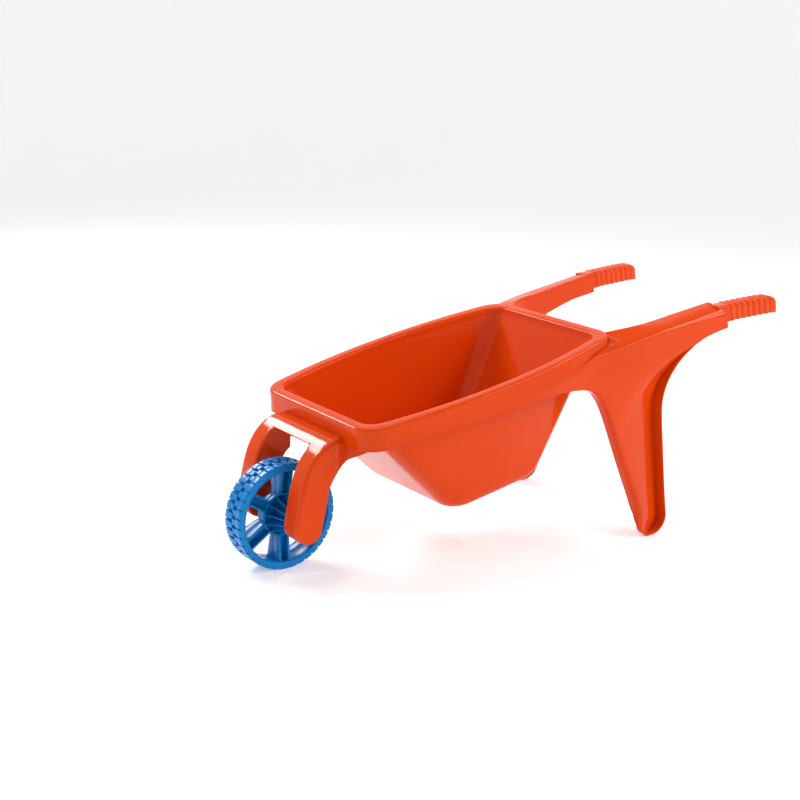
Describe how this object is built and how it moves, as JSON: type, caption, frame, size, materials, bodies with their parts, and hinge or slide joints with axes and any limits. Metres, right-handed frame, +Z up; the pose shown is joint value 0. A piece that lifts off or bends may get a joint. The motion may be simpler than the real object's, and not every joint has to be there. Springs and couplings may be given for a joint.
{
  "type": "toy wheelbarrow",
  "caption": "Child's moulded plastic wheelbarrow: tapered tub with a rolled rim, fork-mounted spoked wheel, splayed legs and ribbed grips.",
  "frame": {"origin": "on the floor, below the middle of the bounding box", "axes": "+X from the wheel to the handles, +Y to the barrow's right side, +Z up; the mirror plane is Y = 0"},
  "size_m": [0.7391, 0.2894, 0.3069],
  "materials": {
    "body_plastic": "glossy moulded polypropylene, orange-red",
    "wheel_plastic": "semi-gloss moulded plastic, mid blue",
    "axle_steel": "plain drawn steel pin"
  },
  "bodies": {
    "barrow": {"tub_hopper": "body_plastic", "tub_rim": "body_plastic", "fork_bridge": "body_plastic", "left_fork_arm": "body_plastic", "right_fork_arm": "body_plastic", "left_handle": "body_plastic", "right_handle": "body_plastic", "left_grip": "body_plastic", "right_grip": "body_plastic", "left_leg": "body_plastic", "right_leg": "body_plastic", "axle": "axle_steel"},
    "wheel": {"wheel_rim_left": "wheel_plastic", "wheel_spokes_left": "wheel_plastic", "wheel_cone_left": "wheel_plastic", "wheel_rim_right": "wheel_plastic", "wheel_spokes_right": "wheel_plastic", "wheel_cone_right": "wheel_plastic"}
  },
  "joints": [
    {"name": "wheel_spin", "type": "hinge", "parent": "barrow", "child": "wheel", "pos_m": [-0.305, 0, 0.065], "axis": [0, 1, 0], "continuous": true}
  ]
}
